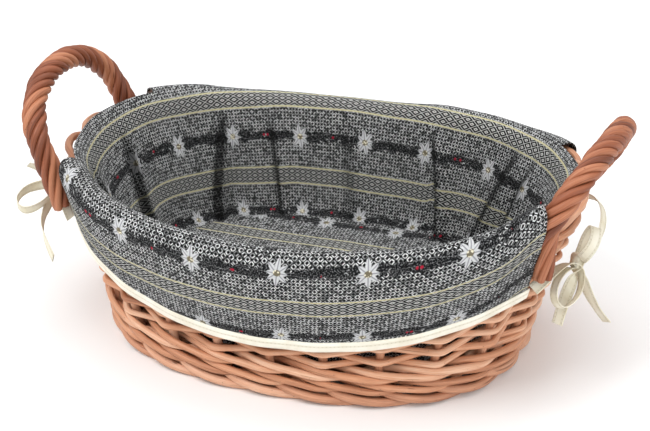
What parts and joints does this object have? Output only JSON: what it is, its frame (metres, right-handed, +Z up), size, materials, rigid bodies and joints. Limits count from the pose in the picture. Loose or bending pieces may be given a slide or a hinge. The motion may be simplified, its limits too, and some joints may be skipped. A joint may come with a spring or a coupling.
{
  "type": "bread basket",
  "caption": "Oval woven willow bread basket with an open foot, roped end handles and a printed cloth liner turned over the rim and tied with tape bows.",
  "frame": {"origin": "on the floor under the middle of the basket", "axes": "+X along the basket's length towards the right-hand handle, -Y the front, +Z up"},
  "size_m": [0.404, 0.2736, 0.1724],
  "materials": {
    "stake_willow": "buff willow rod, satin",
    "woven_willow": "buff willow weavers, satin",
    "base_willow": "buff willow sticks and weavers, matt",
    "handle_willow": "darker buff willow rods twisted into a rope, satin",
    "liner_cloth": "printed cotton, black and white dashes with flowers",
    "cotton_tape": "cream cotton bias tape, stitched"
  },
  "bodies": {
    "root": {"back_cuff": "liner_cloth", "back_hem_tape": "cotton_tape", "base_bye_sticks": "base_willow", "base_cross_sticks": "base_willow", "base_long_sticks": "base_willow", "base_weave": "base_willow", "front_cuff": "liner_cloth", "front_hem_tape": "cotton_tape", "left_back_tie": "cotton_tape", "left_bow_knot": "cotton_tape", "left_front_tie": "cotton_tape", "left_handle_core": "handle_willow", "left_handle_strands": "handle_willow", "liner_floor": "liner_cloth", "liner_wall": "liner_cloth", "lower_wale_1": "woven_willow", "lower_wale_2": "woven_willow", "right_back_tie": "cotton_tape", "right_bow_knot": "cotton_tape", "right_front_tie": "cotton_tape", "right_handle_core": "handle_willow", "right_handle_strands": "handle_willow", "stake_01": "stake_willow", "stake_02": "stake_willow", "stake_03": "stake_willow", "stake_04": "stake_willow", "stake_05": "stake_willow", "stake_06": "stake_willow", "stake_07": "stake_willow", "stake_08": "stake_willow", "stake_09": "stake_willow", "stake_10": "stake_willow", "stake_11": "stake_willow", "stake_12": "stake_willow", "stake_13": "stake_willow", "stake_14": "stake_willow", "stake_15": "stake_willow", "stake_16": "stake_willow", "stake_17": "stake_willow", "stake_18": "stake_willow", "stake_19": "stake_willow", "stake_20": "stake_willow", "stake_21": "stake_willow", "stake_22": "stake_willow", "stake_23": "stake_willow", "stake_24": "stake_willow", "upper_wale": "woven_willow", "weave_row_01": "woven_willow", "weave_row_02": "woven_willow", "weave_row_03": "woven_willow", "weave_row_04": "woven_willow", "weave_row_05": "woven_willow", "weave_row_06": "woven_willow", "weave_row_07": "woven_willow", "weave_row_08": "woven_willow", "weave_row_09": "woven_willow", "weave_row_10": "woven_willow", "weave_row_11": "woven_willow", "weave_row_12": "woven_willow", "weave_row_13": "woven_willow"}
  },
  "joints": []
}
